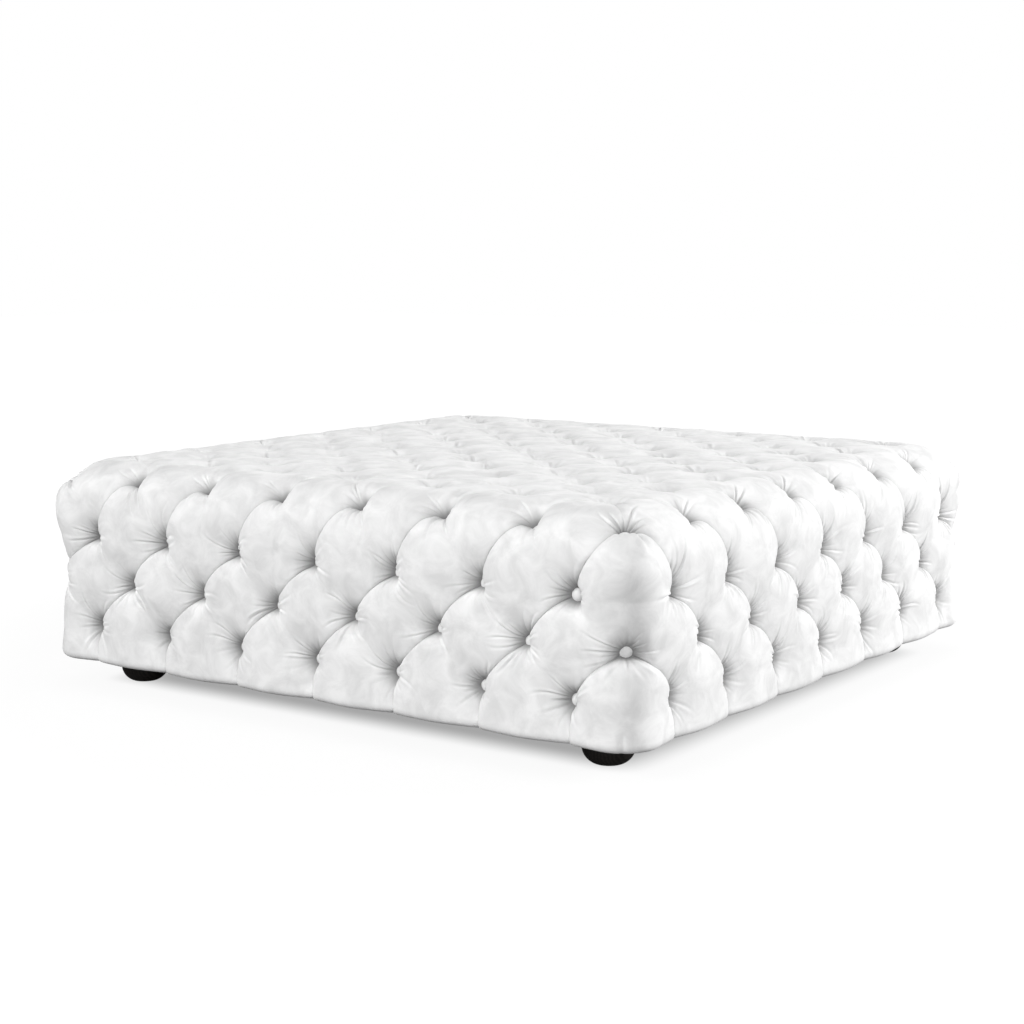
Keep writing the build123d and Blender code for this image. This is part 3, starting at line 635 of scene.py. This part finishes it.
def top_mesh():
    """The velvet of the top, apart from the pillows that are centred on its edge."""
    rng = np.random.default_rng(TOP_SEED)
    t = spread(TOP_STEPS)
    a, b = np.meshgrid(t, t, indexing="ij")
    i, j = a + b - 1, b - a
    move_a, move_b = bowed(a, b, [BOWS[LAST_TOP], 0, BOWS[LAST_TOP], 0])
    spots = [(-HALF_PITCH, 0), (0, -HALF_PITCH), (HALF_PITCH, 0), (0, HALF_PITCH)]
    edges = zip(spots, spots[1:] + spots[:1])
    folds = [(kind, *ends) for kind, ends in zip(["crease", "short", "crease", "short"], edges)]
    patches = Patches()
    for ci in range(-LAST_TOP, LAST_TOP + 1):
        for cj in range(-LAST_TOP, LAST_TOP + 1):
            if (ci + cj) % 2 == 0:
                continue
            rngs = [np.random.default_rng(rng.integers(1, 10**6)) for _ in spots]
            buttons = [Button(spot, "top", False, source) for spot, source in zip(spots, rngs)]
            swell = rng.uniform(*TOP_FULLNESS) * rise(a) * rise(b)
            h = np.maximum(top_height(i * HALF_PITCH, j * HALF_PITCH, swell, folds, buttons), LEAST_HEIGHT)
            points = place_top(ci + i + move_a + move_b, cj - j - move_b + move_a, h)
            patches.add(points, h, grid_faces(*h.shape))
    return mesh_object("velvet_top", patches, 0)


def new_material(name):
    """A material, its nodes' tree and its shader."""
    material = bpy.data.materials.new(name)
    material.use_nodes = True
    return material, material.node_tree, material.node_tree.nodes["Principled BSDF"]


def set_inputs(node, values):
    """Gives a node's inputs their values, by their names."""
    for name, value in values.items():
        node.inputs[name].default_value = value


def add_node(tree, kind, values=None):
    """A new node with the values of its inputs."""
    node = tree.nodes.new(f"ShaderNode{kind}")
    set_inputs(node, values or {})
    return node


def add_math(tree, kind, operation, *terms):
    """A node that works one value or vector out of others."""
    node = add_node(tree, kind)
    node.operation = operation
    for socket, term in zip(node.inputs, terms):
        tree.links.new(term, socket)
    return node


def add_pattern(tree, kind, values):
    """A procedural texture that lies in the object's own space."""
    space = add_node(tree, "TexCoord")
    pattern = add_node(tree, kind, values)
    tree.links.new(space.outputs["Object"], pattern.inputs["Vector"])
    return pattern.outputs["Fac"]


def add_colours(tree, pattern, low, high, dark, light):
    """Colours from dark, where the pattern is low, to light, where it is high."""
    ramp = add_node(tree, "ValToRGB")
    for end, position, colour in zip(ramp.color_ramp.elements, (low, high), (dark, light)):
        end.position = position
        end.color = (*colour, 1)
    tree.links.new(pattern, ramp.inputs["Fac"])
    return ramp.outputs["Color"]


def add_bump(tree, shader, pattern, strength, distance):
    """Bumps a material by a pattern."""
    bump = add_node(tree, "Bump", {"Strength": strength, "Distance": distance})
    tree.links.new(pattern, bump.inputs["Height"])
    tree.links.new(bump.outputs["Normal"], shader.inputs["Normal"])


def painted_tuft_shade(tree, colour):
    """The colour darkened with painted shade where the cover lies deep in a tuft."""
    height = add_node(tree, "Attribute")
    height.attribute_name = "tuft_height"
    level = add_node(tree, "MapRange", {
        "From Min": TUFT_SHADE_BELOW, "From Max": UNSHADED_ABOVE, "To Min": TUFT_SHADE_LEVEL, "To Max": 1.0,
    })
    level.interpolation_type = "SMOOTHSTEP"
    tree.links.new(height.outputs["Fac"], level.inputs["Value"])
    shade = add_node(tree, "Mix")
    shade.data_type = "RGBA"
    shade.blend_type = "MULTIPLY"
    shade.inputs["Factor"].default_value = 1.0
    tree.links.new(colour, shade.inputs["A"])
    tree.links.new(level.outputs["Result"], shade.inputs["B"])
    return shade.outputs["Result"]


def velvet_material(name, with_tuft_shade):
    """Pale velvet: soft patches of pile that lies this way or that, and a fine nap; on the tufted cover,
    painted shade deep in the tufts.
    """
    material, tree, shader = new_material(name)
    set_inputs(shader, {
        "Roughness": 0.9, "Sheen Weight": 0.2, "Sheen Roughness": 0.5, "Specular IOR Level": 0.15,
    })
    pile = add_pattern(tree, "TexNoise", {"Scale": 22, "Detail": 6, "Roughness": 0.6, "Distortion": 0.6})
    colour = add_colours(tree, pile, 0.34, 0.64, VELVET_DARK, VELVET_LIGHT)
    # Painted shade: on the tufted cover the colour darkens deep in the tufts
    if with_tuft_shade:
        colour = painted_tuft_shade(tree, colour)
    tree.links.new(colour, shader.inputs["Base Color"])
    nap = add_pattern(tree, "TexNoise", {"Scale": 900, "Detail": 2})
    add_bump(tree, shader, nap, strength=0.12, distance=0.0006)
    return material


def two_tone(name, kind, values, dark, light, roughness):
    """A material whose one pattern runs between two colours and bumps it."""
    material, tree, shader = new_material(name)
    shader.inputs["Roughness"].default_value = roughness
    pattern = add_pattern(tree, kind, values)
    tree.links.new(add_colours(tree, pattern, 0.3, 0.7, dark, light), shader.inputs["Base Color"])
    add_bump(tree, shader, pattern, strength=0.15, distance=0.0004)
    return material


def grain_material(name, dark, light, roughness, scale):
    """Wood, with the given scale of its grain."""
    return two_tone(
        name, "TexWave", {"Scale": scale, "Distortion": 6, "Detail": 3}, dark, light, roughness
    )


def fibre_material(name, dark, light, roughness, scale):
    """Cloth, foam or the like, with the given scale of its fibres or pores."""
    return two_tone(name, "TexNoise", {"Scale": scale, "Detail": 4}, dark, light, roughness)


def steel_material():
    """Zinc-plated steel."""
    material = fibre_material("zinc_steel", (0.50, 0.50, 0.48), (0.68, 0.68, 0.66), 0.38, 120)
    material.node_tree.nodes["Principled BSDF"].inputs["Metallic"].default_value = 1.0
    return material


def floor_material():
    """Diffuse, with a glow that only the camera sees, dimmed under the ottoman as a painted shadow."""
    material, tree, shader = new_material("floor")
    set_inputs(shader, {
        "Base Color": (FLOOR_LEVEL, FLOOR_LEVEL, FLOOR_LEVEL, 1),
        "Roughness": 1.0,
        "Specular IOR Level": 0.0,
    })
    spot = add_node(tree, "TexCoord").outputs["Object"]
    # The larger of the distances from the middle to the right or left and to the front or back
    sides = add_math(tree, "VectorMath", "ABSOLUTE", spot)
    wider = add_math(tree, "VectorMath", "SUBTRACT", sides.outputs["Vector"])
    wider.inputs[1].default_value = (SHADE_WIDER, 0, 0)
    parted = add_node(tree, "SeparateXYZ")
    tree.links.new(wider.outputs["Vector"], parted.inputs["Vector"])
    square = add_math(tree, "Math", "SMOOTH_MAX", parted.outputs["X"], parted.outputs["Y"])
    square.inputs[2].default_value = SHADE_ROUNDING
    # Painted shadow: the glow dims inside the square under the ottoman
    shade = add_node(tree, "MapRange", {
        "From Min": SHADE_TO, "From Max": SHADE_FROM, "To Min": SHADE_LEVEL, "To Max": 1.0,
    })
    shade.interpolation_type = "SMOOTHSTEP"
    tree.links.new(square.outputs["Value"], shade.inputs["Value"])
    length = add_math(tree, "VectorMath", "LENGTH", spot)
    glow = add_node(tree, "MapRange", {
        "From Min": GLOW_FROM, "From Max": GLOW_TO, "To Min": FLOOR_GLOW, "To Max": 1.0,
    })
    tree.links.new(length.outputs["Value"], glow.inputs["Value"])
    path = add_node(tree, "LightPath")
    seen = add_math(tree, "Math", "MULTIPLY", path.outputs["Is Camera Ray"], shade.outputs["Result"])
    strength = add_math(tree, "Math", "MULTIPLY", seen.outputs["Value"], glow.outputs["Result"])
    emission = add_node(tree, "Emission")
    tree.links.new(strength.outputs["Value"], emission.inputs["Strength"])
    both = add_node(tree, "AddShader")
    tree.links.new(shader.outputs["BSDF"], both.inputs[0])
    tree.links.new(emission.outputs["Emission"], both.inputs[1])
    tree.links.new(both.outputs["Shader"], tree.nodes["Material Output"].inputs["Surface"])
    return material


def aim(obj, location, way):
    """Puts a camera or a light in its place, looking one way."""
    obj.location = location
    obj.rotation_euler = way.to_track_quat("-Z", "Y").to_euler()
    bpy.context.scene.collection.objects.link(obj)


def softbox(name, location, target, width, power):
    """A square soft light."""
    data = bpy.data.lights.new(name, "AREA")
    data.size = width
    data.energy = power
    aim(bpy.data.objects.new(name, data), location, Vector(target) - Vector(location))


# Velvet: an upper and a lower piece for each side, and one for the top
# The cover's velvet has painted shade deep in its tufts
velvet = velvet_material("velvet", with_tuft_shade=True)
covers = []
for quarter, side in enumerate(SIDES):
    for part, rows in (("upper", (EDGE, UPPER)), ("lower", (MIDDLE, LOWER))):
        cover = side_mesh(quarter, part, rows)
        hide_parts(f"cover_{side}", f"wadding_{side}")
        covers.append(cover)
top_cover = top_mesh()
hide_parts("cover_top", "wadding_top")
for cover in covers + [top_cover]:
    cover.data.materials.append(velvet)
    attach(cover, "root")

# Finishes of the frame's nodes, by the start of their names; the first that fits counts. The deck's
# hidden screws have the deck's finish.
FINISHES = [
    (("buttons_",), velvet_material("button_velvet", with_tuft_shade=False)),
    (("foot_plate", "deck", "panel_"),
     grain_material("plywood", (0.55, 0.38, 0.22), (0.72, 0.55, 0.36), roughness=0.65, scale=30)),
    (("foot_",),
     grain_material("black_wood", (0.010, 0.009, 0.008), (0.022, 0.019, 0.017), roughness=0.32, scale=55)),
    (("top_rail", "bottom_rail", "post_", "joist_"),
     grain_material("timber", (0.60, 0.44, 0.26), (0.80, 0.64, 0.43), roughness=0.6, scale=18)),
    (("dust_cover",),
     fibre_material("dust_cloth", (0.020, 0.020, 0.022), (0.045, 0.045, 0.048), roughness=0.95, scale=700)),
    (("ties_",),
     fibre_material("twine", (0.72, 0.68, 0.58), (0.88, 0.85, 0.77), roughness=0.8, scale=1500)),
    (("foam_",),
     fibre_material("foam", (0.80, 0.74, 0.54), (0.92, 0.88, 0.72), roughness=0.95, scale=400)),
    (("wadding_",),
     fibre_material("wadding", (0.86, 0.86, 0.85), (0.95, 0.95, 0.94), roughness=1.0, scale=250)),
    (("cover_",), velvet_material("cover_velvet", with_tuft_shade=False)),
    (("",), steel_material()),
]
for name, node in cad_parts.items():
    finish = next(material for starts, material in FINISHES if name.startswith(starts))
    node.data.materials.clear()
    node.data.materials.append(finish)

# Camera at the photograph's place
azimuth, elevation = math.radians(CAMERA_AZIMUTH), math.radians(CAMERA_ELEVATION)
flat = math.cos(elevation)
back = Vector((math.sin(azimuth) * flat, -math.cos(azimuth) * flat, math.sin(elevation)))
camera_data = bpy.data.cameras.new("camera")
camera_data.lens = CAMERA_LENS
camera_data.sensor_width = CAMERA_SENSOR
camera = bpy.data.objects.new("camera", camera_data)
aim(camera, Vector(CAMERA_TARGET) + back * CAMERA_DISTANCE, -back)
bpy.context.scene.camera = camera
bpy.context.scene.view_settings.view_transform = "Standard"

# White studio: a strength of 1 is white to the camera and in reflections, and the object is lit by less
world = bpy.data.worlds.new("studio")
world.use_nodes = True
bpy.context.scene.world = world
studio = world.node_tree
background = studio.nodes["Background"]
background.inputs["Color"].default_value = (1, 1, 1, 1)
path = add_node(studio, "LightPath")
seen = add_math(studio, "Math", "MAXIMUM", path.outputs["Is Camera Ray"], path.outputs["Is Glossy Ray"])
level = add_node(studio, "Mix", {"A": WORLD_LEVEL, "B": 1.0})
studio.links.new(seen.outputs["Value"], level.inputs["Factor"])
studio.links.new(level.outputs["Result"], background.inputs["Strength"])

floor_mesh = bpy.data.meshes.new("floor")
corners = [(x * FLOOR_REACH, y * FLOOR_REACH, 0) for x, y in ((-1, -1), (1, -1), (1, 1), (-1, 1))]
floor_mesh.from_pydata(corners, [], [(0, 1, 2, 3)])
floor_mesh.materials.append(floor_material())
floor = bpy.data.objects.new("floor", floor_mesh)
bpy.context.scene.collection.objects.link(floor)
for lamp in SOFTBOXES:
    softbox(*lamp)
